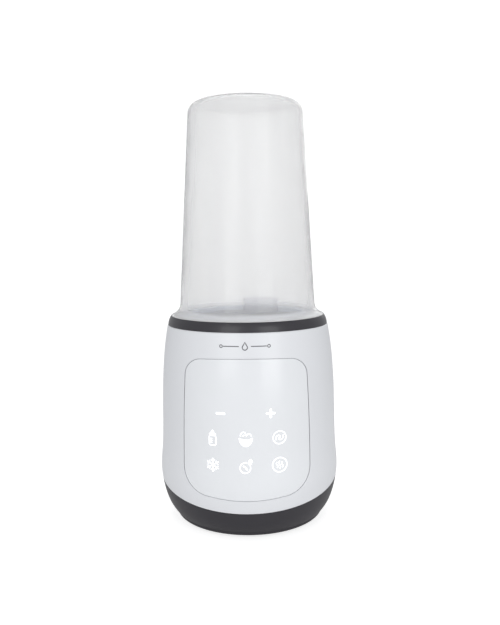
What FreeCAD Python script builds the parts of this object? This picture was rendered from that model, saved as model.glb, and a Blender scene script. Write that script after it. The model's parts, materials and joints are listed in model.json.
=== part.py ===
import FreeCAD, Part
import math
import os
from FreeCAD import Vector

# Bottle and food warmer: dark base, white housing with a flush touch panel, heated well with a
# mixing turntable, lift-out basket and tall lift-off cover. Millimetres, +Z up, the feet stand on
# z = 0, the panel faces -Y, and the axis of the round body is the Z axis.

# ---- Driving dimensions ----
FOOT_H = 2.0                 # the base floor stands this far above the table
FLOOR_TOP = 5.0              # inside face of the base floor
SHELL = 2.6                  # wall of the base and of the housing
SEAM_Z = 33.5                # height of the tilted seam at the axis
SEAM_SLOPE = 0.19            # the seam rises towards the back by this much per mm
HOUSING_TOP = 143.7
EDGE = 0.5                   # bevel on the housing's top edge
SEAM_GROOVE = 0.4            # width and depth of the shadow line at the seam
RING_TOP = 150.3
RING_R_LOW = 58.8
RING_R_TOP = 56.5
COVER_TOP = 303.6
COVER_WALL = 2.0
# radius and height of the outer skin of base and housing
SKIN = [(55.0, 4.8), (60.4, 12.5), (64.6, 25.5), (66.1, 38.0), (65.2, 52.0),
        (64.2, 82.0), (63.1, 111.5), (59.1, HOUSING_TOP)]
BOTTOM_R = 52.2              # edge of the flat underside

PANEL_HALF = 43.1            # half the panel's width, seen from the front
PANEL_Z = (31.3, 126.5)
PANEL_SAG = 1.7              # the bottom edge hangs this much lower in its middle
PANEL_CROWN = 0.9            # the top edge rises this much to its middle
PANEL_LEAN = 1.7             # the sides lean in this much towards the top corners
PANEL_R_TOP = 12.0
PANEL_R_LOW = 18.0
LENS_T = 1.2
GROOVE = 0.4                 # gap round the panel
ICONS = [(-16.7, 90.3), (16.7, 90.3), (-22.4, 73.5), (0.0, 73.5), (22.4, 73.5),
         (-22.4, 55.0), (0.0, 55.0), (22.4, 55.0)]
TUBE_R = 6.0                 # light tube behind each symbol
BOARD_Y = -53.6              # front face of the touch board
BOARD_T = 1.6
WINDOW = (29.0, 46.0, 114.0)  # half width, bottom and top of the light window

WELL_R = 41.5                # inside of the well
WELL_WALL = 2.1
WELL_FLOOR = 65.0
RIM_R = 54.6                 # edge of the tank's deck
COLLAR_TOP = 152.5
PLATE_TOP = 61.0
PLATE_BOTTOM = 60.0
CLAMP_R = 47.0               # circle of the plate clamp's screws
POST_R = 48.4                # circle of the long base screws

SHAFT_R = 2.0
FIT = 0.05                   # radial clearance of a running shaft
MODULE = 0.8
WHEEL_TEETH = 48
PINION_TEETH = 12
GEAR_Z = (46.4, 50.0)
MOTOR_X = 0.0
MOTOR_Y = -MODULE * (WHEEL_TEETH + PINION_TEETH) / 2.0
BRACKET_Z = (42.6, 44.4)
MOTOR_BOTTOM = 14.8

BASKET_R = 38.2              # outside of the basket
BASKET_WALL = 1.8
BASKET_Z = (71.2, 149.0)
BASKET_RIM_R = 40.3

PCB_Z = (11.0, 12.6)
INLET_Z = 24.0
PIN_PITCH = 8.6
PIN_R = 1.18

UP = Vector(0, 0, 1)
QUARTERS = (0, 90, 180, 270)
DIAGONALS = (45, 135, 225, 315)


# ---- Small helpers ----
def cyl(radius, z0, z1, x=0.0, y=0.0):
    return Part.makeCylinder(radius, z1 - z0, Vector(x, y, z0))


def tube(r_in, r_out, z0, z1, x=0.0, y=0.0):
    return cyl(r_out, z0, z1, x, y).cut(cyl(r_in, z0 - 1, z1 + 1, x, y))


def box(x0, x1, y0, y1, z0, z1):
    return Part.makeBox(x1 - x0, y1 - y0, z1 - z0, Vector(x0, y0, z0))


def rod_y(radius, y0, y1, x, z):
    return Part.makeCylinder(radius, y1 - y0, Vector(x, y0, z), Vector(0, 1, 0))


def polar(radius, degrees):
    angle = math.radians(degrees)
    return radius * math.cos(angle), radius * math.sin(angle)


def turned(shape, degrees):
    copy = shape.copy()
    copy.rotate(Vector(0, 0, 0), UP, degrees)
    return copy


def joined(shapes):
    whole = shapes[0]
    for shape in shapes[1:]:
        whole = whole.fuse(shape)
    return whole.removeSplitter()


def group(shapes):
    return Part.makeCompound(list(shapes))


def at(r, z):
    return Vector(r, 0, z)


def line(*points):
    return [Part.makeLine(at(*a), at(*b)) for a, b in zip(points, points[1:])]


def curve(points):
    spline = Part.BSplineCurve()
    spline.interpolate([at(*p) for p in points])
    return [spline.toShape()]


def arc(start, middle, end):
    return [Part.Arc(at(*start), at(*middle), at(*end)).toShape()]


def spun(edges):
    wire = Part.Wire(Part.__sortEdges__(edges))
    return Part.Face(wire).revolve(Vector(0, 0, 0), UP, 360)


def spun_points(points):
    return spun(line(*points, points[0]))


def screw(x, y, z_head, z_tip, r_shank, r_head, head_h):
    """A screw driven upwards, with a round socket in its head."""
    body = cyl(r_head, z_head, z_head + head_h, x, y)
    body = body.fuse(cyl(r_shank, z_head + head_h, z_tip, x, y))
    return body.cut(cyl(r_head * 0.45, z_head - 1, z_head + head_h * 0.6, x, y))


def lead(points, radius):
    """An insulated lead: straight runs joined by arcs as large as the runs allow."""
    path = [Vector(*p) for p in points]
    edges = []
    here = path[0]
    for before, corner, after in zip(path, path[1:], path[2:]):
        run_in = (corner - before).normalize()
        run_out = (after - corner).normalize()
        reach = 0.45 * min(corner.distanceToPoint(before), corner.distanceToPoint(after))
        start = corner - run_in * reach
        end = corner + run_out * reach
        turn = run_in.getAngle(run_out)
        bend_r = reach / math.tan(turn / 2)
        inward = (run_out - run_in).normalize()
        middle = corner + inward * (bend_r / math.cos(turn / 2) - bend_r)
        edges.append(Part.makeLine(here, start))
        edges.append(Part.Arc(start, middle, end).toShape())
        here = end
    edges.append(Part.makeLine(here, path[-1]))
    direction = (path[1] - path[0]).normalize()
    section = Part.Wire(Part.makeCircle(radius, path[0], direction))
    return Part.Wire(edges).makePipeShell([section], True, False)


# ---- The outer skin and the regions that cut it ----
def skin(inset=0.0):
    """Solid body inside the outer skin, with the wall taken off by inset."""
    side = [(r - inset, z) for r, z in SKIN]
    low_r, low_z = side[0]
    base = BOTTOM_R - inset
    edges = curve(side)
    edges += arc((base, FOOT_H), (low_r - 0.8, low_z - 2.0), (low_r, low_z))
    edges += line((base, FOOT_H), (0, FOOT_H), (0, HOUSING_TOP), side[-1])
    return spun(edges)


def above_seam(lift=0.0):
    half = 120.0
    slab = box(-half, half, -half, half, 0, 2 * half)
    slab.rotate(Vector(0, 0, 0), Vector(1, 0, 0), math.degrees(math.atan(SEAM_SLOPE)))
    slab.translate(Vector(0, 0, SEAM_Z + lift))
    return slab


def seam_band(low, high):
    return above_seam(low).cut(above_seam(high))


def seam_groove():
    half = SEAM_GROOVE / 2
    return seam_band(-half, half).cut(skin(SEAM_GROOVE))


def panel_prism(grow=0.0):
    """The panel's outline, pushed straight through the front of the housing."""
    x = PANEL_HALF + grow
    low = PANEL_Z[0] + PANEL_SAG - grow
    high = PANEL_Z[1] + grow
    r_top = PANEL_R_TOP + grow
    r_low = PANEL_R_LOW + grow
    k = 1 - math.sqrt(0.5)

    x_top = x - PANEL_LEAN
    z_top = high - PANEL_CROWN
    z_ends = (low + r_low, z_top - r_top)

    def corner(side):
        top = Part.Arc(at(side * x_top, z_ends[1]), at(side * (x_top - k * r_top), z_top - k * r_top),
                       at(side * (x_top - r_top), z_top)).toShape()
        bottom = Part.Arc(at(side * x, z_ends[0]), at(side * (x - k * r_low), low + k * r_low),
                          at(side * (x - r_low), low)).toShape()
        upright = arc((side * x, z_ends[0]), (side * (x - PANEL_LEAN / 4), sum(z_ends) / 2),
                      (side * x_top, z_ends[1]))
        return [top, bottom] + upright

    edges = corner(1) + corner(-1)
    edges += arc((-(x_top - r_top), z_top), (0, high), (x_top - r_top, z_top))
    edges += arc((-(x - r_low), low), (0, low - PANEL_SAG), (x - r_low, low))
    face = Part.Face(Part.Wire(Part.__sortEdges__(edges)))
    face.translate(Vector(0, -80, 0))
    return face.extrude(Vector(0, 60, 0))


SOLID = skin()
INSIDE = skin(SHELL)
BEHIND_LENS = skin(LENS_T)


# ---- Base ----
def base_shell():
    wall = SOLID.cut(INSIDE).cut(above_seam())
    floor = SOLID.common(cyl(70, 0, FLOOR_TOP))
    hook = skin(SHELL - 0.1).cut(skin(SHELL + 1.7)).common(seam_band(-5, 0))
    lip = skin(SHELL + 0.15).cut(skin(SHELL + 1.7)).common(seam_band(-5, 3))
    parts = [wall, floor, hook, lip]
    for angle in DIAGONALS:
        parts.append(cyl(4.6, FLOOR_TOP - 1, 26, *polar(POST_R, angle)))
    for x, y in BOARD_POSTS:
        parts.append(cyl(3.2, FLOOR_TOP - 1, PCB_Z[0], x, y))
    shell = joined(parts).cut(seam_groove())
    for angle in DIAGONALS:
        x, y = polar(POST_R, angle)
        shell = shell.cut(cyl(3.6, 0, 8, x, y)).cut(cyl(2.1, 0, 30, x, y))
    for x, y in BOARD_POSTS:
        shell = shell.cut(cyl(1.25, 6, 20, x, y))
    for angle in QUARTERS:
        shell = shell.cut(cyl(6.6, 0, FOOT_TOP, *polar(FEET_R, angle)))
    for vent in floor_vents():
        shell = shell.cut(vent)
    return shell.cut(inlet_block(0.1))


FEET_R = 42.0
FOOT_TOP = 3.0
BOARD_POSTS = [(22, -2), (-22, -2), (22, 34), (-22, 34)]


def floor_vents():
    slot = box(14, 30, -1.1, 1.1, 0, 10).fuse(cyl(1.1, 0, 10, 14)).fuse(cyl(1.1, 0, 10, 30))
    return [turned(slot, 22.5 + 45 * i) for i in range(8)]


def rubber_feet():
    foot = cyl(6.5, 0.5, FOOT_TOP, FEET_R)
    foot = foot.fuse(Part.makeCone(6.0, 6.5, 0.5, Vector(FEET_R, 0, 0)))
    return group(turned(foot, angle) for angle in QUARTERS)


def base_screws():
    return group(screw(*polar(POST_R, a), 5.0, 72.0, 1.75, 3.3, 3.0) for a in DIAGONALS)


# ---- Housing ----
def upper_housing():
    room = INSIDE.common(cyl(80, 0, HOUSING_TOP - 2.6))
    shell = SOLID.common(above_seam()).cut(room).cut(cyl(52.2, 100, 200))
    shell = shell.cut(SOLID.cut(BEHIND_LENS).common(panel_prism(GROOVE))).cut(seam_groove())
    top_r, top_z = SKIN[-1]
    shell = shell.cut(spun_points([(top_r - EDGE, top_z), (top_r + 1, top_z + 1),
                                   (top_r + 1, top_z - 1 - EDGE), (top_r, top_z - EDGE)]))
    posts = []
    for angle in DIAGONALS:
        x, y = polar(POST_R, angle)
        web = box(POST_R + 1, 64, -1.3, 1.3, 50, 78).cut(box(40, 53, -5, 5, 58, 90))
        arm = box(POST_R, 58, -1.3, 1.3, 40, 58)
        rib = turned(web.fuse(arm), angle).common(skin(SHELL - 0.5))
        posts += [rib, cyl(3.6, 26, 62, x, y)]
    shell = joined([shell] + posts)
    for angle in DIAGONALS:
        shell = shell.cut(cyl(2.0, 20, 70, *polar(POST_R, angle)))
    half, low, high = WINDOW
    return shell.cut(box(-half, half, -80, -40, low, high))


def trim_ring():
    low = HOUSING_TOP
    edges = arc((RING_R_LOW, low), (58.1, 147.2), (RING_R_TOP, RING_TOP))
    edges += line((RING_R_TOP, RING_TOP), (RIM_R + 0.1, RING_TOP), (RIM_R + 0.1, low),
                  (RING_R_LOW, low))
    return spun(edges)


# ---- Touch panel ----
def in_window(shape, margin=0.0):
    half, low, high = WINDOW
    return shape.common(box(-half + margin, half - margin, -80, -40, low + margin, high - margin))


def control_lens():
    return SOLID.cut(BEHIND_LENS).common(panel_prism())


def touch_film():
    return in_window(BEHIND_LENS.cut(skin(LENS_T + 0.15)).common(box(-80, 80, -80, -40, 0, 140)), 0.3)


def icon_tubes(radius):
    return [rod_y(radius, -80, BOARD_Y + 1, x, z) for x, z in ICONS]


DISPLAY = (13.0, 97.5, 110.5)    # half width, bottom and top of the number display


def icon_diffusers():
    layer = skin(LENS_T + 0.15).cut(skin(LENS_T + 1.15))
    return group(layer.common(rod) for rod in icon_tubes(TUBE_R - 0.1))


def light_shroud():
    block = in_window(skin(LENS_T + 0.15).common(box(-40, 40, -80, BOARD_Y, 0, 140)), 0.2)
    for rod in icon_tubes(TUBE_R):
        block = block.cut(rod)
    half, low, high = DISPLAY
    block = block.cut(box(-half, half, -80, -50, low, high))
    for x, z in BOARD_CORNERS:
        block = block.cut(rod_y(1.3, BOARD_Y - 2.6, BOARD_Y + 1, x, z))
    return block


BOARD_CORNERS = [(-13, 64), (13, 64), (-13, 112.2), (13, 112.2)]


def touch_board():
    board = box(-27, 27, BOARD_Y, BOARD_Y + BOARD_T, 46.5, 113.8)
    for x, z in BOARD_CORNERS:
        board = board.cut(rod_y(1.3, BOARD_Y - 1, BOARD_Y + 3, x, z))
    chip = box(-5, 5, BOARD_Y + BOARD_T, BOARD_Y + BOARD_T + 1.4, 78, 88)
    socket = box(13, 23, BOARD_Y + BOARD_T, BOARD_Y + BOARD_T + 4, 48, 53)
    return joined([board, chip, socket])


def icon_leds():
    return group(box(x - 1.6, x + 1.6, BOARD_Y - 1.2, BOARD_Y, z - 1.0, z + 1.0) for x, z in ICONS)


def display_module():
    half, low, high = DISPLAY
    block = box(-half + 0.3, half - 0.3, -62.5, BOARD_Y, low + 0.3, high - 0.3)
    return block.common(skin(LENS_T + 0.3))


def touch_board_screws():
    screws = []
    for x, z in BOARD_CORNERS:
        head = rod_y(2.2, BOARD_Y + BOARD_T, BOARD_Y + BOARD_T + 1.4, x, z)
        slot = box(x - 1.6, x + 1.6, BOARD_Y + BOARD_T + 0.9, BOARD_Y + 5, z - 0.3, z + 0.3)
        screws.append(head.fuse(rod_y(1.25, BOARD_Y - 2.4, BOARD_Y + BOARD_T, x, z)).cut(slot))
    return group(screws)


# ---- Water side ----
def water_tank():
    wall_r = WELL_R + WELL_WALL
    inside = line((WELL_R, 151.3), (WELL_R, WELL_FLOOR), (38.5, WELL_FLOOR), (38.5, 62),
                  (50.2, 62), (50.2, WELL_FLOOR), (wall_r, WELL_FLOOR), (wall_r, 142.4),
                  (49.0, 142.9), (RIM_R - 2.3, 144.8), (RIM_R, 144.8), (RIM_R, 147.2))
    deck = line((RIM_R, 147.2), (52.2, 147.2), (46.6, 145.4), (45.0, 146.2), (45.0, 151.3))
    lip = arc((45.0, 151.3), (43.25, COLLAR_TOP), (WELL_R, 151.3))
    tank = spun(inside + deck + lip)
    bosses = [cyl(3.6, 62, 75, *polar(POST_R, a)) for a in DIAGONALS]
    bosses += [cyl(4.0, 62, 74, *polar(CLAMP_R, a)) for a in QUARTERS]
    tank = joined([tank] + bosses)
    for angle in DIAGONALS:
        tank = tank.cut(cyl(1.8, 60, 73, *polar(POST_R, angle)))
    for angle in QUARTERS:
        tank = tank.cut(cyl(1.45, 60, 71, *polar(CLAMP_R, angle)))
    return tank


def tank_gasket():
    return tube(52.5, RIM_R - 0.1, HOUSING_TOP, 144.8)


def heating_plate():
    """Pressed steel dish: a raised rim, a shallow step and a hole for the shaft bush."""
    outline = [(5.0, PLATE_BOTTOM), (44.0, PLATE_BOTTOM), (44.0, PLATE_TOP), (37.8, PLATE_TOP),
               (37.0, PLATE_TOP + 0.6), (34.0, PLATE_TOP + 0.6), (33.2, PLATE_TOP),
               (12.0, PLATE_TOP), (5.0, PLATE_TOP)]
    return spun_points(outline)


def plate_seal():
    return tube(39.5, 43.8, PLATE_TOP, 62)


def plate_clamp():
    ring = tube(39.0, 44.4, 57.6, PLATE_BOTTOM)
    ears = [turned(box(40, CLAMP_R, -5, 5, 57.6, PLATE_BOTTOM), a) for a in QUARTERS]
    ends = [cyl(5, 57.6, PLATE_BOTTOM, *polar(CLAMP_R, a)) for a in QUARTERS]
    clamp = joined([ring] + ears + ends).cut(cyl(39.0, 50, 70))
    for angle in QUARTERS:
        clamp = clamp.cut(cyl(1.8, 50, 70, *polar(CLAMP_R, angle)))
    return clamp


def clamp_screws():
    return group(screw(*polar(CLAMP_R, a), 53.8, 70.0, 1.4, 2.8, 2.0) for a in QUARTERS)


HEATER_R = 29.5
HEATER_TUBE = 2.6
HEATER_GAP = 32.0            # half angle between the heater's two ends, at the back


def heater_ring():
    turn = Part.makeTorus(HEATER_R, HEATER_TUBE, Vector(0, 0, PLATE_BOTTOM - HEATER_TUBE), UP)
    gap = math.tan(math.radians(HEATER_GAP)) * 60
    wedge = Part.makePolygon([Vector(0, 0, 50), Vector(gap, 60, 50), Vector(-gap, 60, 50),
                              Vector(0, 0, 50)])
    return turn.cut(Part.Face(wedge).extrude(Vector(0, 0, 20)))


def heater_ends():
    return [polar(HEATER_R, 90 + side * HEATER_GAP) for side in (-1, 1)]


def heater_terminals():
    """A ceramic sleeve and a tab on each end of the heater, bent down from the plate."""
    ends = []
    for side, (x, y) in zip((-1, 1), heater_ends()):
        sleeve = cyl(2.4, 51.5, PLATE_BOTTOM - 0.4, x, y).cut(heater_ring())
        tab = box(x - 1.6, x + 1.6, y - 0.4, y + 0.4, 47.5, 51.5)
        ends.append(sleeve.fuse(tab))
    return group(ends)


def thermal_cutout():
    x, y = polar(15.5, 150)
    can = cyl(7.5, 54.6, PLATE_BOTTOM, x, y)
    tabs = [box(x + s * 4.5 - 0.4, x + s * 4.5 + 0.4, y - 2.5, y + 2.5, 51.6, 54.6) for s in (-1, 1)]
    return joined([can] + tabs)


def temperature_sensor():
    x, y = polar(16.0, 20)
    flange = box(x - 6, x + 6, y - 3, y + 3, PLATE_BOTTOM - 0.8, PLATE_BOTTOM)
    return joined([cyl(2.8, 53, PLATE_BOTTOM, x, y), flange])


# ---- Mixing drive ----
def involute(angle):
    return math.tan(angle) - angle


def gear(teeth, addendum, dedendum, phase, z0, z1):
    """Spur gear with involute flanks, pressure angle 20 degrees and 0.1 mm of backlash."""
    pitch_r = MODULE * teeth / 2.0
    pressure = math.radians(20)
    base_r = pitch_r * math.cos(pressure)
    root_r = pitch_r - dedendum
    tip_r = pitch_r + addendum
    half_tooth = math.pi / (2 * teeth) - 0.05 / pitch_r

    def half_angle(radius):
        if radius <= base_r:
            return half_tooth + involute(pressure)
        return half_tooth + involute(pressure) - involute(math.acos(base_r / radius))

    low_r = max(root_r + 0.05, base_r)
    flank = [root_r] + [low_r + (tip_r - low_r) * i / 3.0 for i in range(4)]
    points = []
    for tooth in range(teeth):
        centre = phase + 2 * math.pi * tooth / teeth
        for radius in flank:
            angle = centre - half_angle(radius)
            points.append(Vector(radius * math.cos(angle), radius * math.sin(angle), z0))
        for radius in reversed(flank):
            angle = centre + half_angle(radius)
            points.append(Vector(radius * math.cos(angle), radius * math.sin(angle), z0))
    points.append(points[0])
    return Part.Face(Part.makePolygon(points)).extrude(Vector(0, 0, z1 - z0))


def drive_gear():
    wheel = gear(WHEEL_TEETH, 0.6, 0.95, -math.pi / 2, *GEAR_Z)
    recess = tube(6.5, 16.0, GEAR_Z[1] - 1.2, GEAR_Z[1] + 1)
    wheel = wheel.cut(recess).fuse(cyl(5.5, GEAR_Z[0], 52.0))
    for i in range(6):
        wheel = wheel.cut(cyl(2.6, 40, 60, *polar(11.2, 60 * i)))
    return wheel.cut(cyl(SHAFT_R, 40, 60))


def motor_pinion():
    half_pitch = math.pi / PINION_TEETH
    pinion = gear(PINION_TEETH, 0.72, 0.85, math.pi / 2 + half_pitch, 45.6, 50.6)
    return pinion.cut(cyl(1.5, 40, 60)).translated(Vector(MOTOR_X, MOTOR_Y, 0))


def motor_shaft():
    return cyl(1.5, 36.0, 52.0, MOTOR_X, MOTOR_Y)


def motor_gearhead():
    can = cyl(12.2, 30.4, BRACKET_Z[0], MOTOR_X, MOTOR_Y)
    pilot = cyl(3.5, BRACKET_Z[0], 45.2, MOTOR_X, MOTOR_Y)
    head = joined([can, pilot]).cut(cyl(1.5 + FIT, 35.5, 50, MOTOR_X, MOTOR_Y))
    for side in (-1, 1):
        head = head.cut(cyl(1.3, 38, 50, MOTOR_X + side * 8.5, MOTOR_Y))
    return head


def motor_can():
    can = cyl(12.0, MOTOR_BOTTOM + 1.5, 30.4, MOTOR_X, MOTOR_Y)
    end = cyl(5.0, MOTOR_BOTTOM, MOTOR_BOTTOM + 1.5, MOTOR_X, MOTOR_Y)
    band = tube(11.0, 12.6, 20, 28, MOTOR_X, MOTOR_Y)
    return joined([can, end, band])


def motor_screws():
    screws = []
    for side in (-1, 1):
        x = MOTOR_X + side * 8.5
        head = cyl(2.3, BRACKET_Z[1], BRACKET_Z[1] + 1.4, x, MOTOR_Y)
        slot = box(x - 1.7, x + 1.7, MOTOR_Y - 0.3, MOTOR_Y + 0.3, BRACKET_Z[1] + 0.8, 47)
        screws.append(head.fuse(cyl(1.25, 39, BRACKET_Z[1], x, MOTOR_Y)).cut(slot))
    return group(screws)


def drive_bracket():
    """Steel plate under the gear, hung on four bent legs from the plate clamp's screws."""
    parts = [cyl(37.0, *BRACKET_Z)]
    for angle in QUARTERS:
        leg = box(35.5, 42.4, -5, 5, *BRACKET_Z)
        leg = leg.fuse(box(41.0, 42.4, -5, 5, BRACKET_Z[0], 57.6))
        leg = leg.fuse(box(41.0, 50.5, -5, 5, 55.8, 57.6))
        parts.append(turned(leg, angle))
    plate = joined(parts).cut(cyl(4.0, 40, 50)).cut(cyl(3.55, 40, 50, MOTOR_X, MOTOR_Y))
    for side in (-1, 1):
        plate = plate.cut(cyl(1.4, 40, 50, MOTOR_X + side * 8.5, MOTOR_Y))
    for angle in (45, 135):
        plate = plate.cut(cyl(8.5, 40, 50, *polar(23, angle)))
    for angle in QUARTERS:
        plate = plate.cut(cyl(1.6, 50, 60, *polar(CLAMP_R, angle)))
    return plate


def lower_bush():
    bush = cyl(4.0, BRACKET_Z[0], BRACKET_Z[1]).fuse(cyl(6.0, BRACKET_Z[1], 46.0))
    return bush.cut(cyl(SHAFT_R + FIT, 40, 50))


def shaft_bush():
    bush = cyl(8.0, 57.5, PLATE_BOTTOM).fuse(cyl(5.0, PLATE_BOTTOM, 63.0))
    return bush.cut(cyl(SHAFT_R + FIT, 50, 70))


def shaft_seal():
    outline = [(SHAFT_R + FIT, 63.0), (5.0, 63.0), (5.0, 64.2), (3.2, 65.4), (SHAFT_R + FIT, 65.4)]
    return spun_points(outline)


def drive_shaft():
    shaft = cyl(SHAFT_R, 40.8, 71.0)
    return shaft.cut(tube(1.6, 3.0, 41.3, 42.0))


def shaft_clip():
    return tube(1.6, 3.6, 41.35, 41.95).cut(box(0, 6, -1.2, 1.2, 40, 43))


def turntable():
    """Disc with steam slots, a centring rim for the basket and a hub on the shaft."""
    disc = cyl(37.0, 67.0, 69.0).fuse(cyl(6.5, 65.8, 71.0))
    rim = tube(35.6, 37.0, 68.5, BASKET_Z[0])
    knob = Part.makeSphere(5.0, Vector(0, 0, 68.5)).common(cyl(10, 68.0, 80))
    table = joined([disc, rim, knob])
    slot = box(14, 30, -1.5, 1.5, 60, 75).fuse(cyl(1.5, 60, 75, 14)).fuse(cyl(1.5, 60, 75, 30))
    for i in range(10):
        table = table.cut(turned(slot, 36 * i))
    return table.cut(cyl(SHAFT_R, 60, 71.0))


# ---- Lift-out basket and cover ----
GRIP_HALF = 14.0             # half width of the basket's grip
GRIP_ANGLE = 74.0            # the grip stands at the back, right of the middle


def bottle_basket():
    """Slotted cup with a rolled rim and one grip that stands up behind the bottle."""
    inner = BASKET_R - BASKET_WALL
    z0, z1 = BASKET_Z
    cup = cyl(BASKET_R, z0, z1).cut(cyl(inner, z0 + BASKET_WALL, z1 + 1))
    rim = tube(inner, BASKET_RIM_R, z1 - 2.0, z1)
    grip = tube(inner, BASKET_R, z1 - 2.0, 159.5)
    grip = grip.common(box(20, 60, -GRIP_HALF, GRIP_HALF, z1 - 3, 170))
    grip = turned(grip, GRIP_ANGLE)
    foot = tube(33.4, 35.2, z0 - 1.8, z0 + 0.5)
    basket = joined([cup, rim, grip, foot])
    slot = box(20, 60, -1.8, 1.8, z0 + 12, z1 - 12)
    slot = slot.fuse(Part.makeCylinder(1.8, 40, Vector(20, 0, z0 + 12), Vector(1, 0, 0)))
    slot = slot.fuse(Part.makeCylinder(1.8, 40, Vector(20, 0, z1 - 12), Vector(1, 0, 0)))
    for i in range(16):
        basket = basket.cut(turned(slot, 22.5 * i + GRIP_ANGLE + 11.25))
    hole = cyl(2.0, z0 - 1, z0 + 4, 25)
    for i in range(12):
        basket = basket.cut(turned(hole, 30 * i))
    for i in range(6):
        basket = basket.cut(cyl(2.0, z0 - 1, z0 + 4, *polar(14, 60 * i)))
    return basket.cut(Part.makeSphere(7.0, Vector(0, 0, 68.5)))


def cover():
    """Flared skirt, cone and nearly flat top, with a locating lip inside the trim ring."""
    flare = [(56.1, 150.7), (53.2, 152.2), (51.0, 154.6), (49.6, 158.6)]
    corner = [(41.69, 295.4), (39.37, 300.72), (34.03, 303.05)]
    outside = line((54.3, 148.3), (54.3, RING_TOP), (56.1, RING_TOP), flare[0])
    outside += curve(flare) + line(flare[-1], corner[0]) + arc(*corner)
    outside += curve([corner[-1], (16.3, COVER_TOP - 0.15), (0, COVER_TOP)])
    inner_corner = [(39.69, 295.3), (37.96, 299.31), (33.96, 301.05)]
    inside = curve([(52.4, 150.0), (50.6, 152.0), (48.5, 155.2), (47.6, 158.6)])
    inside += line((52.4, 150.0), (52.4, 148.3), (54.3, 148.3))
    inside += line((47.6, 158.6), inner_corner[0]) + arc(*inner_corner)
    ceiling = COVER_TOP - COVER_WALL
    inside += curve([inner_corner[-1], (16.2, ceiling - 0.15), (0, ceiling)])
    return spun(outside + inside + line((0, COVER_TOP), (0, ceiling)))


# ---- Power parts ----
def power_board():
    board = box(-27, 27, -7, 38, *PCB_Z)
    for x, y in BOARD_POSTS:
        board = board.cut(cyl(1.6, 5, 20, x, y))
    return board


def board_screws():
    screws = []
    for x, y in BOARD_POSTS:
        head = cyl(2.6, PCB_Z[1], PCB_Z[1] + 1.6, x, y)
        slot = box(x - 1.8, x + 1.8, y - 0.35, y + 0.35, PCB_Z[1] + 0.9, 20)
        screws.append(head.fuse(cyl(1.2, 6.5, PCB_Z[1], x, y)).cut(slot))
    return group(screws)


def transformer():
    core = box(-25, -5, 3, 19, PCB_Z[1], 29)
    bobbin = box(-20, -10, 1, 21, PCB_Z[1] + 2, 26)
    return joined([core, bobbin])


def relay():
    case = box(0, 19, 3, 18, PCB_Z[1], 28)
    return case.makeFillet(0.8, [edge for edge in case.Edges if edge.BoundBox.ZMax > 20])


def capacitor():
    can = cyl(6.0, PCB_Z[1], 32.6, -10, 29)
    cross = box(-14, -6, 28.7, 29.3, 32.1, 33).fuse(box(-10.3, -9.7, 25, 33, 32.1, 33))
    return can.cut(cross).cut(tube(5.6, 7, 14.6, 15.6, -10, 29))


def fuse():
    glass = Part.makeCylinder(2.5, 18, Vector(-1, 24.5, 16.4), Vector(1, 0, 0))
    clips = [box(x, x + 3, 22.5, 26.5, PCB_Z[1], 14.4) for x in (-1, 14)]
    return joined([glass] + clips)


def terminal_block():
    block = box(-2, 17, 28.5, 37, PCB_Z[1], 22)
    for i in range(4):
        block = block.cut(cyl(1.7, 18, 30, 0.8 + 4.6 * i, 32.5))
    return block


def inlet_block(grow=0.0):
    g = grow
    return box(-13 - g, 13 + g, 40 - g, 80, INLET_Z - 8 - g, INLET_Z + 8 + g)


def power_inlet():
    """Recessed inlet for a figure-8 plug, flush with the skin."""
    block = inlet_block().common(SOLID)
    well = [rod_y(4.6, 47.5, 80, side * PIN_PITCH / 2, INLET_Z) for side in (-1, 1)]
    waist = box(-PIN_PITCH / 2, PIN_PITCH / 2, 47.5, 80, INLET_Z - 2.8, INLET_Z + 2.8)
    block = block.cut(well[0]).cut(well[1]).cut(waist)
    for side in (-1, 1):
        block = block.cut(rod_y(PIN_R, 30, 50, side * PIN_PITCH / 2, INLET_Z))
    return block


def inlet_pins():
    pins = []
    for side in (-1, 1):
        pin = rod_y(PIN_R, 38.5, 57.0, side * PIN_PITCH / 2, INLET_Z)
        tip = Part.makeSphere(PIN_R, Vector(side * PIN_PITCH / 2, 57.0, INLET_Z))
        pins.append(pin.fuse(tip))
    return group(pins)


def mains_leads():
    """From the inlet's pins down into the terminal block."""
    leads = []
    for side, end_x in ((-1, 0.8), (1, 5.4)):
        x = side * PIN_PITCH / 2
        leads.append(lead([(x, 38.5, INLET_Z), (x, 35.5, INLET_Z), (end_x, 32.5, 26.0),
                           (end_x, 32.5, 19.0)], 0.8))
    return group(leads)


def heater_leads():
    """From the terminal block up through the bracket's clearance to the heater's tabs."""
    leads = []
    for start_x, (x, y), side in ((10.0, heater_ends()[0], 1), (14.6, heater_ends()[1], -1)):
        leads.append(lead([(start_x, 32.5, 19.0), (start_x, 32.5, 30.0), (side * 21, 37.6, 37.0),
                           (side * 22.5, 36.5, 46.0), (x, y + 1.2, 50.8)], 0.8))
    return group(leads)


def motor_leads():
    leads = []
    for side in (-1, 1):
        leads.append(lead([(side * 3.0, MOTOR_Y + 13.4, 22), (side * 4.5, -7.5, 20),
                           (side * 6.0, -3.0, 17), (side * 6.0, -3.0, PCB_Z[1])], 0.7))
    return group(leads)


def signal_cable():
    """From the touch board's socket down past the motor to the power board."""
    return lead([(18, BOARD_Y + 4, 48), (18, BOARD_Y + 4, 38), (19, -44, 24), (19, -32, 15.5),
                 (17, -16, 15.5), (15, -3, 18), (15, -3, PCB_Z[1])], 1.2)


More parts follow.
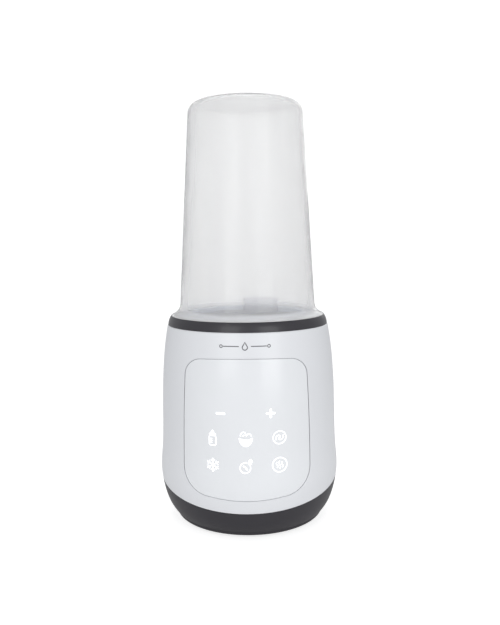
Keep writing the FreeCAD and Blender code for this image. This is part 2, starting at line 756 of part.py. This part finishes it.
NODES = [base_shell, rubber_feet, base_screws, upper_housing, trim_ring, control_lens, touch_film,
         icon_diffusers, light_shroud, touch_board, icon_leds, display_module, touch_board_screws,
         water_tank, tank_gasket, heating_plate, plate_seal, plate_clamp, clamp_screws,
         heater_ring, heater_terminals, thermal_cutout, temperature_sensor, shaft_bush, shaft_seal,
         lower_bush, drive_bracket, drive_shaft, shaft_clip, drive_gear, motor_can, motor_gearhead,
         motor_screws, motor_shaft, motor_pinion, turntable, bottle_basket, cover, power_board,
         board_screws, transformer, relay, capacitor, fuse, terminal_block, power_inlet, inlet_pins,
         mains_leads, heater_leads, motor_leads, signal_cable]

os.makedirs("parts", exist_ok=True)
for node in NODES:
    node().exportStep("parts/" + node.__name__ + ".step")
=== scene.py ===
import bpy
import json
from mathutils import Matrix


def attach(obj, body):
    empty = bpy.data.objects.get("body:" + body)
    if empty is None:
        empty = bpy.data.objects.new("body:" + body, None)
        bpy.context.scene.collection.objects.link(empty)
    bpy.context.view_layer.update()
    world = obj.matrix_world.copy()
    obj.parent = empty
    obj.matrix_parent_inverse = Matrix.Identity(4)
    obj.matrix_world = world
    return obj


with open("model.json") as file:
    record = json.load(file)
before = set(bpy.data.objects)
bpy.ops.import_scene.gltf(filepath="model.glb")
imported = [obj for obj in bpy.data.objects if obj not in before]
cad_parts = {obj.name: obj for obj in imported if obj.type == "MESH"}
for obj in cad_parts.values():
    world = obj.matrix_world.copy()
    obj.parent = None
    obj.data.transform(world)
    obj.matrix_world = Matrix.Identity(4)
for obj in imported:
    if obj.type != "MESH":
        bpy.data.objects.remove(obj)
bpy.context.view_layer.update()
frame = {"nodes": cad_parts, "record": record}

import bpy
import bmesh
import json
import math
from mathutils import Vector
from mathutils.bvhtree import BVHTree

MM = 0.001
NOISE_ROUGHNESS = 0.55       # how strongly each finer octave of noise shows
HEIGHT_SPAN = 0.3            # metres of height that a height ramp covers, from the floor up


# ---- Node helpers: every material is built from object-space procedural patterns ----
class Shader:
    """A material with one Principled shader and short calls for the patterns that feed it."""

    def __init__(self, name, rough=0.4, metal=0.0, coat=0.0, coat_rough=0.1, ior=1.46, spec=0.5):
        self.material = bpy.data.materials.new(name)
        self.material.use_nodes = True
        self.tree = self.material.node_tree
        self.shader = self.tree.nodes["Principled BSDF"]
        self.set("Roughness", rough)
        self.set("Metallic", metal)
        self.set("Coat Weight", coat)
        self.set("Coat Roughness", coat_rough)
        self.set("IOR", ior)
        self.set("Specular IOR Level", spec)
        self.place = self.node("ShaderNodeTexCoord").outputs["Object"]

    def node(self, kind, **values):
        made = self.tree.nodes.new(kind)
        for key, value in values.items():
            setattr(made, key, value)
        return made

    def link(self, source, target):
        self.tree.links.new(source, target)

    def set(self, socket, value):
        self.shader.inputs[socket].default_value = value

    def scaled(self, x, y, z):
        """Object coordinates stretched along each axis."""
        mapping = self.node("ShaderNodeMapping")
        mapping.inputs["Scale"].default_value = (x, y, z)
        self.link(self.place, mapping.inputs["Vector"])
        return mapping.outputs["Vector"]

    def noise(self, scale, detail=3.0, vector=None):
        noise = self.node("ShaderNodeTexNoise")
        noise.inputs["Scale"].default_value = scale
        noise.inputs["Detail"].default_value = detail
        noise.inputs["Roughness"].default_value = NOISE_ROUGHNESS
        self.link(vector or self.place, noise.inputs["Vector"])
        return noise.outputs["Fac"]

    def voronoi(self, scale, output="Distance"):
        cells = self.node("ShaderNodeTexVoronoi")
        cells.inputs["Scale"].default_value = scale
        self.link(self.place, cells.inputs["Vector"])
        return cells.outputs[output]

    def wave(self, kind, direction, scale, distortion=0.0, detail=2.0):
        """Rings about an axis or bands along it: kind is RINGS or BANDS."""
        wave = self.node("ShaderNodeTexWave", wave_type=kind)
        if kind == "RINGS":
            wave.rings_direction = direction
        else:
            wave.bands_direction = direction
        wave.inputs["Scale"].default_value = scale
        wave.inputs["Distortion"].default_value = distortion
        wave.inputs["Detail"].default_value = detail
        self.link(self.place, wave.inputs["Vector"])
        return wave.outputs["Fac"]

    def ramp(self, factor, stops, interpolation="LINEAR"):
        """Colours or grey values between stops of (position, value)."""
        ramp = self.node("ShaderNodeValToRGB")
        ramp.color_ramp.interpolation = interpolation
        elements = ramp.color_ramp.elements
        while len(elements) < len(stops):
            elements.new(0.5)
        for element, (position, value) in zip(elements, stops):
            element.position = position
            element.color = (*value, 1.0) if isinstance(value, tuple) else (value, value, value, 1.0)
        self.link(factor, ramp.inputs["Fac"])
        return ramp.outputs["Color"]

    def remap(self, factor, low, high):
        span = self.node("ShaderNodeMapRange")
        span.inputs["To Min"].default_value = low
        span.inputs["To Max"].default_value = high
        self.link(factor, span.inputs["Value"])
        return span.outputs["Result"]

    def product(self, first, second):
        node = self.node("ShaderNodeMath", operation="MULTIPLY")
        self.link(first, node.inputs[0])
        self.link(second, node.inputs[1])
        return node.outputs[0]

    def by_height(self, low, high):
        """A value that changes with height between two pairs of (metres, value)."""
        split = self.node("ShaderNodeSeparateXYZ")
        self.link(self.place, split.inputs[0])
        share = self.node("ShaderNodeMath", operation="DIVIDE")
        share.inputs[1].default_value = HEIGHT_SPAN
        self.link(split.outputs["Z"], share.inputs[0])
        return self.ramp(share.outputs[0], [(z / HEIGHT_SPAN, value) for z, value in (low, high)])

    def colour(self, factor, low, high, start=0.3, end=0.7):
        self.link(self.ramp(factor, [(start, low), (end, high)]), self.shader.inputs["Base Color"])

    def roughness(self, factor, low, high):
        self.link(self.remap(factor, low, high), self.shader.inputs["Roughness"])

    def bump(self, height, depth_mm):
        bump = self.node("ShaderNodeBump")
        bump.inputs["Distance"].default_value = depth_mm * MM
        self.link(height, bump.inputs["Height"])
        self.link(bump.outputs["Normal"], self.shader.inputs["Normal"])


def shade(colour, factor):
    return tuple(min(1.0, channel * factor) for channel in colour)


def moulded(name, colour, rough, grain_mm, depth_mm, spread=0.03, coat=0.0, spec=0.5, sub=0.0):
    """Injection-moulded plastic: fine spark-eroded grain, faint flow mottling, wear in its gloss."""
    s = Shader(name, coat=coat, spec=spec)
    s.colour(s.noise(14.0, detail=4.0), shade(colour, 1 - spread), shade(colour, 1 + spread))
    s.roughness(s.noise(55.0, detail=5.0), rough * 0.88, rough * 1.14)
    s.bump(s.noise(1000.0 / grain_mm, detail=2.0), depth_mm)
    if sub:
        s.set("Subsurface Weight", sub)
        s.set("Subsurface Radius", (4 * MM, 4 * MM, 4 * MM))
        s.set("Subsurface Scale", 0.5)
    return s


# ---- The materials, one function each ----
def frosted_cover():
    """Lightly frosted translucent plastic with faint flow streaks.

    It is milky at its thick foot, clearest just above that, and fully frosted about 30 mm higher.
    """
    s = Shader("frosted_cover", coat=0.1, coat_rough=0.2, ior=1.25)
    streak = s.noise(9.0, detail=5.0, vector=s.scaled(9.0, 9.0, 0.18))
    s.colour(streak, (0.972, 0.973, 0.977), (0.990, 0.991, 0.994))
    cloud = s.remap(s.noise(30.0, detail=4.0, vector=s.scaled(4.0, 4.0, 0.3)), 0.16, 0.24)
    frost = s.by_height((0.156, 0.25), (0.183, 1.0))
    s.link(s.product(cloud, frost), s.shader.inputs["Roughness"])
    foot = s.by_height((0.150, 0.50), (0.1554, 1.0))
    clear = s.product(s.remap(streak, 0.72, 0.80), foot)
    s.link(clear, s.shader.inputs["Transmission Weight"])
    s.bump(s.noise(1800.0, detail=2.0), 0.004)
    return s.material


def white_housing():
    """Satin white housing plastic."""
    return moulded("white_housing", (0.775, 0.787, 0.812), 0.34, 0.35, 0.006, spread=0.008,
                   coat=0.08).material


def white_lens():
    """Glossy dead-front lens with a very soft moulded ripple."""
    s = Shader("white_lens", coat=0.15, coat_rough=0.25)
    s.colour(s.noise(20.0), (0.800, 0.816, 0.837), (0.815, 0.831, 0.853))
    s.roughness(s.noise(40.0, detail=1.0), 0.21, 0.24)
    s.bump(s.noise(45.0, detail=1.0), 0.008)
    return s.material


def charcoal_trim():
    """Satin charcoal plastic of the trim ring."""
    return moulded("charcoal_trim", (0.036, 0.034, 0.040), 0.36, 0.5, 0.02, spread=0.05,
                   coat=0.15, spec=0.4).material


def charcoal_base():
    """Matt charcoal plastic of the base."""
    return moulded("charcoal_base", (0.034, 0.032, 0.038), 0.42, 0.45, 0.02, spread=0.06,
                   spec=0.4).material


def tank_plastic():
    """Smooth blue-grey plastic of the water tank and its deck."""
    return moulded("tank_plastic", (0.63, 0.68, 0.80), 0.2, 0.6, 0.004, spread=0.015,
                   coat=0.3).material


def basket_plastic():
    """Clear plastic of the bottle basket."""
    s = moulded("basket_plastic", (0.92, 0.935, 0.98), 0.18, 0.7, 0.004, spread=0.01, coat=0.2)
    s.set("Transmission Weight", 0.84)
    return s.material


def drive_plastic():
    """Off-white plastic of the turntable and the drive gear."""
    return moulded("drive_plastic", (0.72, 0.72, 0.68), 0.34, 0.5, 0.008, sub=0.1).material


def foot_rubber():
    """Dull rubber with a stippled face."""
    s = Shader("foot_rubber", rough=0.82, spec=0.3)
    s.colour(s.noise(400.0), (0.018, 0.018, 0.018), (0.035, 0.035, 0.034))
    s.bump(s.voronoi(1400.0), 0.06)
    return s.material


def silicone():
    """Dull translucent silicone of the seals."""
    return moulded("silicone", (0.66, 0.66, 0.63), 0.55, 0.8, 0.01, sub=0.2).material


def stainless():
    """Spun stainless: fine rings about the axis with a little waviness."""
    s = Shader("stainless", metal=1.0)
    rings = s.wave("RINGS", "Z", 900.0, distortion=1.5, detail=3.0)
    s.colour(rings, (0.56, 0.56, 0.57), (0.68, 0.68, 0.69), 0.1, 0.9)
    s.roughness(s.noise(220.0, detail=4.0), 0.2, 0.36)
    s.bump(rings, 0.004)
    s.set("Anisotropic", 0.4)
    return s.material


def zinc_steel():
    """Bright zinc plating with soft crystal patches."""
    s = Shader("zinc_steel", metal=1.0)
    s.colour(s.voronoi(420.0, output="Color"), (0.50, 0.52, 0.54), (0.66, 0.67, 0.69), 0.0, 1.0)
    s.roughness(s.noise(600.0), 0.26, 0.42)
    s.bump(s.noise(900.0, detail=4.0), 0.008)
    return s.material


def aluminium_part():
    """Cast aluminium with a fine matt grain."""
    s = Shader("aluminium_part", metal=1.0)
    s.colour(s.noise(300.0, detail=5.0), (0.62, 0.62, 0.63), (0.76, 0.76, 0.77))
    s.roughness(s.noise(500.0), 0.38, 0.55)
    s.bump(s.noise(1500.0, detail=4.0), 0.03)
    return s.material


def brass_part():
    """Turned brass: tool rings and slight tarnish."""
    s = Shader("brass_part", metal=1.0)
    s.colour(s.noise(260.0, detail=4.0), (0.60, 0.44, 0.18), (0.80, 0.64, 0.32))
    s.roughness(s.noise(700.0), 0.2, 0.38)
    s.bump(s.wave("BANDS", "Z", 2600.0), 0.006)
    return s.material


def ceramic_part():
    """Unglazed cream ceramic."""
    s = Shader("ceramic_part", rough=0.62)
    s.colour(s.noise(500.0), (0.78, 0.75, 0.68), (0.87, 0.85, 0.80))
    s.bump(s.noise(2200.0, detail=4.0), 0.03)
    return s.material


def green_board():
    """Solder mask over copper tracks, with scattered tinned pads."""
    s = Shader("green_board", rough=0.32, coat=0.5, coat_rough=0.15)
    tracks = s.node("ShaderNodeTexBrick")
    tracks.inputs["Scale"].default_value = 160.0
    tracks.inputs["Mortar Size"].default_value = 0.035
    tracks.inputs["Brick Width"].default_value = 1.3
    s.link(s.place, tracks.inputs["Vector"])
    mask = s.ramp(tracks.outputs["Fac"], [(0.0, (0.010, 0.115, 0.045)), (1.0, (0.03, 0.24, 0.10))])
    pads = s.ramp(s.voronoi(260.0), [(0.0, 1.0), (0.16, 1.0), (0.18, 0.0)], "CONSTANT")
    mix = s.node("ShaderNodeMix", data_type="RGBA")
    s.link(pads, mix.inputs["Factor"])
    s.link(mask, mix.inputs["A"])
    mix.inputs["B"].default_value = (0.62, 0.62, 0.58, 1.0)
    s.link(mix.outputs["Result"], s.shader.inputs["Base Color"])
    s.bump(tracks.outputs["Fac"], 0.03)
    return s.material


def black_plastic():
    """Black plastic of the inlet, relay, terminal block and display."""
    return moulded("black_plastic", (0.028, 0.028, 0.030), 0.4, 0.4, 0.02, spread=0.08).material


def blue_plastic():
    """Blue sleeve of the capacitor."""
    return moulded("blue_plastic", (0.03, 0.09, 0.32), 0.28, 0.9, 0.01, spread=0.05, coat=0.3).material


def yellow_tape():
    """Polyester tape wound in lapped layers."""
    s = Shader("yellow_tape", rough=0.25, coat=0.4)
    s.colour(s.noise(60.0), (0.70, 0.48, 0.04), (0.84, 0.62, 0.08))
    s.bump(s.wave("BANDS", "Z", 420.0, distortion=0.6), 0.05)
    return s.material


def fuse_glass():
    """Clear glass of the fuse's tube."""
    s = Shader("fuse_glass", rough=0.06, ior=1.5)
    s.colour(s.noise(80.0), (0.86, 0.89, 0.88), (0.93, 0.95, 0.94))
    s.set("Transmission Weight", 0.9)
    s.bump(s.noise(300.0), 0.01)
    return s.material


def light_plastic():
    """Milky white plastic of the light shroud and the diffusers."""
    return moulded("light_plastic", (0.85, 0.86, 0.87), 0.5, 0.6, 0.01, spread=0.015, sub=0.2).material


def film_plastic():
    """Touch film with the faint bands of its sensing tracks."""
    s = Shader("film_plastic", rough=0.2, coat=0.3)
    tracks = s.wave("BANDS", "X", 240.0)
    s.colour(tracks, (0.60, 0.64, 0.64), (0.74, 0.78, 0.78), 0.45, 0.55)
    s.bump(s.noise(200.0), 0.01)
    return s.material


def led_lens():
    """Pale yellow resin over the icon lights."""
    s = Shader("led_lens", rough=0.2, coat=0.5)
    s.colour(s.noise(900.0), (0.86, 0.82, 0.42), (0.93, 0.90, 0.58))
    s.bump(s.noise(1200.0), 0.01)
    return s.material


def wire_sleeve():
    """Dark soft sleeve of the inner leads."""
    s = Shader("wire_sleeve", rough=0.5, spec=0.4)
    s.colour(s.noise(300.0), (0.035, 0.035, 0.037), (0.06, 0.06, 0.062))
    s.bump(s.noise(1500.0), 0.02)
    return s.material


def symbol_light():
    """Lit symbol: white light through the lens, a touch brighter in patches."""
    s = Shader("symbol_light", rough=0.3)
    s.colour(s.noise(200.0), (0.93, 0.95, 0.96), (0.97, 0.98, 0.99))
    glow = s.ramp(s.noise(150.0), [(0.3, (0.94, 0.97, 1.0)), (0.7, (1.0, 1.0, 1.0))])
    s.link(glow, s.shader.inputs["Emission Color"])
    s.set("Emission Strength", 0.6)
    return s.material


def print_grey():
    """Dark grey pad-printing ink."""
    s = Shader("print_grey", rough=0.55)
    s.colour(s.noise(900.0), (0.105, 0.107, 0.115), (0.135, 0.137, 0.145))
    s.bump(s.noise(1600.0), 0.01)
    return s.material


MATERIALS = {make.__name__: make() for make in (
    frosted_cover, white_housing, white_lens, charcoal_trim, charcoal_base, tank_plastic,
    basket_plastic, drive_plastic, foot_rubber, silicone, stainless, zinc_steel, aluminium_part,
    brass_part, ceramic_part, green_board, black_plastic, blue_plastic, yellow_tape, fuse_glass,
    light_plastic, film_plastic, led_lens, wire_sleeve)}
SLOTS = {part["node"]: part["material_slot"] for part in frame["record"]["subparts"]}


def dress_nodes():
    """Each carried-over CAD node takes the material of its slot."""
    for name, node in frame["nodes"].items():
        for place in node.material_slots:
            place.material = MATERIALS[SLOTS[name]]


# ---- Mesh helpers ----
RAY_START_Y = -0.2           # well in front of the object


def add_object(name, mesh, material, smooth=True):
    piece = bpy.data.objects.new(name, mesh)
    bpy.context.scene.collection.objects.link(piece)
    mesh.materials.append(material)
    for face in mesh.polygons:
        face.use_smooth = smooth
    return piece


class Surface:
    """Finds points on a CAD node's front, so that printed shapes follow its curve."""

    def __init__(self, node):
        mesh = frame["nodes"][node].data
        corners = [v.co.copy() for v in mesh.vertices]
        self.tree = BVHTree.FromPolygons(corners, [tuple(p.vertices) for p in mesh.polygons])

    def at(self, x, z, lift):
        """The point on the front at x and z, raised along the surface's normal."""
        hit, normal, _, _ = self.tree.ray_cast(Vector((x, RAY_START_Y, z)), Vector((0, 1, 0)))
        return hit + normal.normalized() * lift


def stroke(points, width, closed=False):
    """Left and right edge of a line of even width through the points."""
    count = len(points)
    sides = []
    for i, (x, z) in enumerate(points):
        before = points[(i - 1) % count] if closed or i else points[i]
        after = points[(i + 1) % count] if closed or i < count - 1 else points[i]
        dx, dz = after[0] - before[0], after[1] - before[1]
        length = math.hypot(dx, dz) or 1.0
        nx, nz = -dz / length * width / 2, dx / length * width / 2
        sides.append(((x + nx, z + nz), (x - nx, z - nz)))
    return sides


def arc_points(cx, cz, rx, rz, start, end, steps):
    """Points along an ellipse's arc, from one angle to another in degrees."""
    angles = [math.radians(start + (end - start) * i / steps) for i in range(steps + 1)]
    return [(cx + rx * math.cos(a), cz + rz * math.sin(a)) for a in angles]


class Decal:
    """Thin closed shapes laid on a surface: strokes and filled outlines, in millimetres."""

    ROOT_MM = 0.05           # how deep the back of a shape stands in the surface

    def __init__(self, surface, lift_mm=0.06):
        self.mesh = bmesh.new()
        self.surface = surface
        self.lift = lift_mm * MM

    def points(self, places, lift):
        return [self.mesh.verts.new(self.surface.at(x * MM, z * MM, lift)) for x, z in places]

    def slab(self, places, faces):
        """Closed slab from its front's places and the faces between them."""
        front = self.points(places, self.lift)
        back = self.points(places, -self.ROOT_MM * MM)
        edges = []
        for face in faces:
            self.mesh.faces.new([front[i] for i in face])
            self.mesh.faces.new([back[i] for i in reversed(face)])
            edges += zip(face, face[1:] + face[:1])
        met = set(edges)
        for a, b in edges:
            if (b, a) not in met:
                self.mesh.faces.new([front[b], front[a], back[a], back[b]])

    def line(self, points, width, closed=False):
        """Line of even width, with its two edges' places taken in pairs."""
        sides = stroke(points, width, closed)
        count = len(sides)
        faces = []
        for i in range(count if closed else count - 1):
            j = (i + 1) % count
            faces.append([2 * i, 2 * i + 1, 2 * j + 1, 2 * j])
        self.slab([place for pair in sides for place in pair], faces)

    def fill(self, outline):
        """Filled outline: a ring of quads halfway in, and a fan about its middle."""
        count = len(outline)
        cx = sum(p[0] for p in outline) / count
        cz = sum(p[1] for p in outline) / count
        half = [((x + cx) / 2, (z + cz) / 2) for x, z in outline]
        faces = []
        for i in range(count):
            j = (i + 1) % count
            faces.append([i, j, count + j, count + i])
            faces.append([count + i, count + j, 2 * count])
        self.slab(list(outline) + half + [(cx, cz)], faces)

    def finish(self, name, material):
        bmesh.ops.recalc_face_normals(self.mesh, faces=self.mesh.faces)
        data = bpy.data.meshes.new(name)
        self.mesh.to_mesh(data)
        self.mesh.free()
        return add_object(name, data, material, smooth=False)


# ---- The lit symbols on the panel, in millimetres ----
ROWS = {"top": 90.3, "middle": 73.5, "low": 55.0}        # heights of the rows
TOP_X = 16.7                 # the minus and the plus stand this far from the middle
SIDE_X = 22.4                # and the outer symbols of the two rows of three, this far
LINE_WIDTH = 0.62
BAR_LENGTH = 6.4             # of the minus and the plus


def turned(points, cx, cz, degrees):
    """Points about the origin, turned and then moved to a middle."""
    cos, sin = math.cos(math.radians(degrees)), math.sin(math.radians(degrees))
    return [(cx + x * cos - z * sin, cz + x * sin + z * cos) for x, z in points]


def rounded_bar(decal, cx, cz, length, width, degrees=0.0):
    r = width / 2
    run = length / 2 - r
    outline = arc_points(run, 0, r, r, -90, 90, 6) + arc_points(-run, 0, r, r, 90, 270, 6)
    decal.fill(turned(outline, cx, cz, degrees))


def ring(decal, cx, cz, radius, width, steps, end=352):
    """Closed circle in line: its last point stands at the angle end, just short of a full turn."""
    decal.line(arc_points(cx, cz, radius, radius, 0, end, steps), width, closed=True)


def minus_key(decal):
    rounded_bar(decal, -TOP_X, ROWS["top"], BAR_LENGTH, 1.5)


def plus_key(decal):
    for degrees in (0, 90):
        rounded_bar(decal, TOP_X, ROWS["top"], BAR_LENGTH, 1.4, degrees)


def bottle_key(decal):
    """Feeding bottle: teat, collar and a body with measuring ticks."""
    x, z = -SIDE_X, ROWS["middle"]
    decal.line([(x - 2.1, z + 1.4), (x - 2.3, z + 0.4), (x - 2.3, z - 4.4), (x - 1.7, z - 5.1),
                (x + 1.7, z - 5.1), (x + 2.3, z - 4.4), (x + 2.3, z + 0.4), (x + 2.1, z + 1.4)],
               LINE_WIDTH, closed=True)
    rounded_bar(decal, x, z + 2.4, 4.8, 1.2)
    decal.fill([(x - 1.3, z + 3.2), (x + 1.3, z + 3.2), (x + 1.0, z + 4.1), (x + 0.55, z + 5.0),
                (x, z + 5.4), (x - 0.55, z + 5.0), (x - 1.0, z + 4.1)])
    for tick in range(3):
        rounded_bar(decal, x - 0.9, z - 0.7 - 1.3 * tick, 1.5, 0.6)


def pot_key(decal):
    """Food bowl with a pile of food and a spoon's tip."""
    x, z = 0.0, ROWS["middle"]
    bowl = arc_points(x, z + 0.7, 4.6, 5.9, 180, 360, 18)
    decal.fill([(x - 4.7, z + 0.7)] + bowl + [(x + 4.7, z + 0.7)])
    decal.line(arc_points(x - 1.6, z + 1.7, 2.0, 3.0, 5, 178, 10), LINE_WIDTH)
    decal.line(arc_points(x + 2.0, z + 1.6, 1.7, 1.9, 0, 150, 8), LINE_WIDTH)
    rounded_bar(decal, x - 1.6, z + 2.3, 1.9, 0.6, 35)


def mixing_key(decal):
    """Ring with a two-armed swirl."""
    x, z = SIDE_X, ROWS["middle"]
    ring(decal, x, z, 4.3, LINE_WIDTH, 44)
    inner, growth, sweep, steps = 0.25, 2.6, math.radians(215), 14
    arm = []
    for i in range(steps + 1):
        r, angle = inner + growth * i / steps, sweep * i / steps
        arm.append((r * math.cos(angle), r * math.sin(angle)))
    for degrees in (0, 180):
        decal.line(turned(arm, x, z, degrees), LINE_WIDTH)


def snow_key(decal):
    """Snowflake of six arms, each with a pair of twigs."""
    x, z = -SIDE_X, ROWS["low"]
    fork = 2.4               # along the arm, where its twigs start
    twig_angle, twig_width = 0.9, 0.5
    for arm in range(6):
        degrees = 60 * arm + 90
        decal.line(turned([(0.4, 0), (fork, 0), (4.6, 0)], x, z, degrees), LINE_WIDTH)
        for side in (-1, 1):
            across, up = math.cos(side * twig_angle), math.sin(side * twig_angle)
            twig = [(fork + across * d, up * d) for d in (0.2, 1.0, 1.8)]
            decal.line(turned(twig, x, z, degrees), twig_width)


def fruit_key(decal):
    """Round fruit in outline, open under its one leaf, with a slanting highlight."""
    x, z = -0.5, ROWS["low"] - 1.0
    decal.line(arc_points(x, z, 3.5, 3.5, 68, 382, 40), LINE_WIDTH)
    decal.line([(x - 1.5, z + 1.4), (x + 0.1, z + 0.3), (x + 1.4, z - 1.4)], 0.9)
    leaf = arc_points(0, 0, 1.3, 2.1, 0, 351, 16)
    decal.fill(turned(leaf, x + 3.3, z + 3.9, -18))


def steam_key(decal):
    """Ring with three waves of steam."""
    x, z = SIDE_X, ROWS["low"]
    ring(decal, x, z, 4.8, LINE_WIDTH, 48)
    spacing, swing, wave_width, steps = 1.7, 0.55, 0.55, 12
    for place, half_height in ((-1, 1.9), (0, 2.6), (1, 1.9)):
        wave = []
        for i in range(steps + 1):
            t = i / steps
            wave.append((x + spacing * place + swing * math.sin(math.tau * t),
                         z + half_height * (2 * t - 1)))
        decal.line(wave, wave_width)


def panel_symbols():
    lens = Surface("control_lens")
    glow = symbol_light()
    for draw in (minus_key, plus_key, bottle_key, pot_key,
                 mixing_key, snow_key, fruit_key, steam_key):
        decal = Decal(lens)
        draw(decal)
        piece = decal.finish("symbol_" + draw.__name__, glow)
        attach(piece, "housing")


def front_mark():
    """A plain printed pictogram above the panel: a drop between two lines that end in rings."""
    decal = Decal(Surface("upper_housing"), lift_mm=0.03)
    z = 135.0
    drop = arc_points(0, z - 0.7, 1.7, 1.7, -200, 20, 16)
    tip = [(0.75, z + 1.3), (0, z + 2.7), (-0.75, z + 1.3)]
    decal.line(drop + tip, 0.65, closed=True)
    start, length, steps = 4.0, 10.5, 12
    for side in (-1, 1):
        decal.line([(side * (start + length * i / steps), z) for i in range(steps + 1)], 0.6)
        ring(decal, side * 15.9, z, 0.9, 0.55, 16, end=345)
    piece = decal.finish("front_mark", print_grey())
    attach(piece, "housing")


# ---- Floor, light and camera ----
VIEW_AZIMUTH = 1.9           # degrees: the panel looks a little to the left of the camera
CAMERA_BACK = 0.5
CAMERA_HEIGHT = 0.2038
CAMERA_PITCH = 0.105         # radians below the horizon
CAMERA_ROLL = -0.012         # radians
LENS_MM = 38.86
FRAME_SHIFT = 0.00405

LIGHT_AIM = (0, 0, 0.15)     # the middle of the object
LIGHTS = (                   # name, place, width and height, watts
    ("key", (-0.60, -1.4, 0.62), (0.7, 1.2), 5.9),
    ("fill", (0.80, -1.3, 0.50), (0.7, 1.2), 6.5),
    ("top", (0, 0.1, 1.5), (1.2, 1.2), 2.0),
    ("glint", (-0.75, -1.15, 1.5), (0.10, 0.10), 0.5),
    ("back", (0.2, 1.4, 0.9), (1.6, 1.2), 4.5))
ROOM_GLOW = 0.56             # the room as it lights the object
BACKDROP_GLOW = 1.10         # the room as it is seen, straight or through the cover

FLOOR_RADIUS = 1.6
FLOOR_SIDES = 96
FLOOR_FADE = (0.22, 0.8)     # distances from the middle where the paper starts and ends its fade
FLOOR_GLOW = (0.22, 0.74)    # the paper's own light: what it sheds, and what is seen of it


def make_camera():
    data = bpy.data.cameras.new("camera")
    data.lens = LENS_MM
    data.shift_x = FRAME_SHIFT
    data.clip_start = 0.01
    camera = bpy.data.objects.new("camera", data)
    bpy.context.scene.collection.objects.link(camera)
    turn = math.radians(VIEW_AZIMUTH)
    camera.location = (CAMERA_BACK * math.sin(turn), -CAMERA_BACK * math.cos(turn), CAMERA_HEIGHT)
    camera.rotation_euler = (math.pi / 2 - CAMERA_PITCH, 0, turn)
    camera.rotation_euler.rotate_axis("Z", CAMERA_ROLL)
    bpy.context.scene.camera = camera


def make_lights():
    """Soft rectangular lamps, all turned to the object."""
    for name, place, size, watts in LIGHTS:
        data = bpy.data.lights.new(name, "AREA")
        data.shape = "RECTANGLE"
        data.size, data.size_y = size
        data.energy = watts
        light = bpy.data.objects.new(name, data)
        bpy.context.scene.collection.objects.link(light)
        light.location = place
        light.rotation_euler = (Vector(LIGHT_AIM) - Vector(place)).to_track_quat("-Z", "Y").to_euler()
        light.visible_transmission = False       # no lamp's shape shows through the cover


def make_world():
    """A pale even room, seen as white where nothing stands in front of it."""
    world = bpy.data.worlds.new("studio")
    world.use_nodes = True
    bpy.context.scene.world = world
    tree = world.node_tree
    room = tree.nodes["Background"]
    room.inputs["Color"].default_value = (0.97, 0.98, 1.0, 1.0)
    room.inputs["Strength"].default_value = ROOM_GLOW
    seen = tree.nodes.new("ShaderNodeBackground")
    seen.inputs["Color"].default_value = (1, 1, 1, 1)
    seen.inputs["Strength"].default_value = BACKDROP_GLOW
    path = tree.nodes.new("ShaderNodeLightPath")
    either = tree.nodes.new("ShaderNodeMath")
    either.operation = "MAXIMUM"
    tree.links.new(path.outputs["Is Camera Ray"], either.inputs[0])
    tree.links.new(path.outputs["Is Transmission Ray"], either.inputs[1])
    mix = tree.nodes.new("ShaderNodeMixShader")
    tree.links.new(either.outputs[0], mix.inputs["Fac"])
    tree.links.new(room.outputs[0], mix.inputs[1])
    tree.links.new(seen.outputs[0], mix.inputs[2])
    tree.links.new(mix.outputs[0], tree.nodes["World Output"].inputs["Surface"])


def make_floor():
    """A white paper disc that fades out into the white room before its edge."""
    mesh = bpy.data.meshes.new("floor")
    angles = [math.tau * i / FLOOR_SIDES for i in range(FLOOR_SIDES)]
    rim = [(FLOOR_RADIUS * math.cos(a), FLOOR_RADIUS * math.sin(a), 0) for a in angles]
    mesh.from_pydata(rim, [], [list(range(FLOOR_SIDES))])
    s = Shader("floor_paper", rough=0.9, spec=0.1)
    s.colour(s.noise(6.0), (0.59, 0.59, 0.59), (0.61, 0.61, 0.61))
    s.set("Emission Color", (1, 1, 1, 1))
    path = s.node("ShaderNodeLightPath")
    glow = s.remap(path.outputs["Is Camera Ray"], *FLOOR_GLOW)
    s.link(glow, s.shader.inputs["Emission Strength"])
    away = s.node("ShaderNodeVectorMath", operation="LENGTH")
    s.link(s.place, away.inputs[0])
    fade = s.ramp(away.outputs["Value"], [(FLOOR_FADE[0], 1.0), (FLOOR_FADE[1], 0.0)])
    s.link(fade, s.shader.inputs["Alpha"])
    add_object("floor", mesh, s.material)


dress_nodes()
panel_symbols()
front_mark()
make_floor()
make_world()
make_lights()
make_camera()
bpy.context.scene.view_settings.view_transform = "Standard"
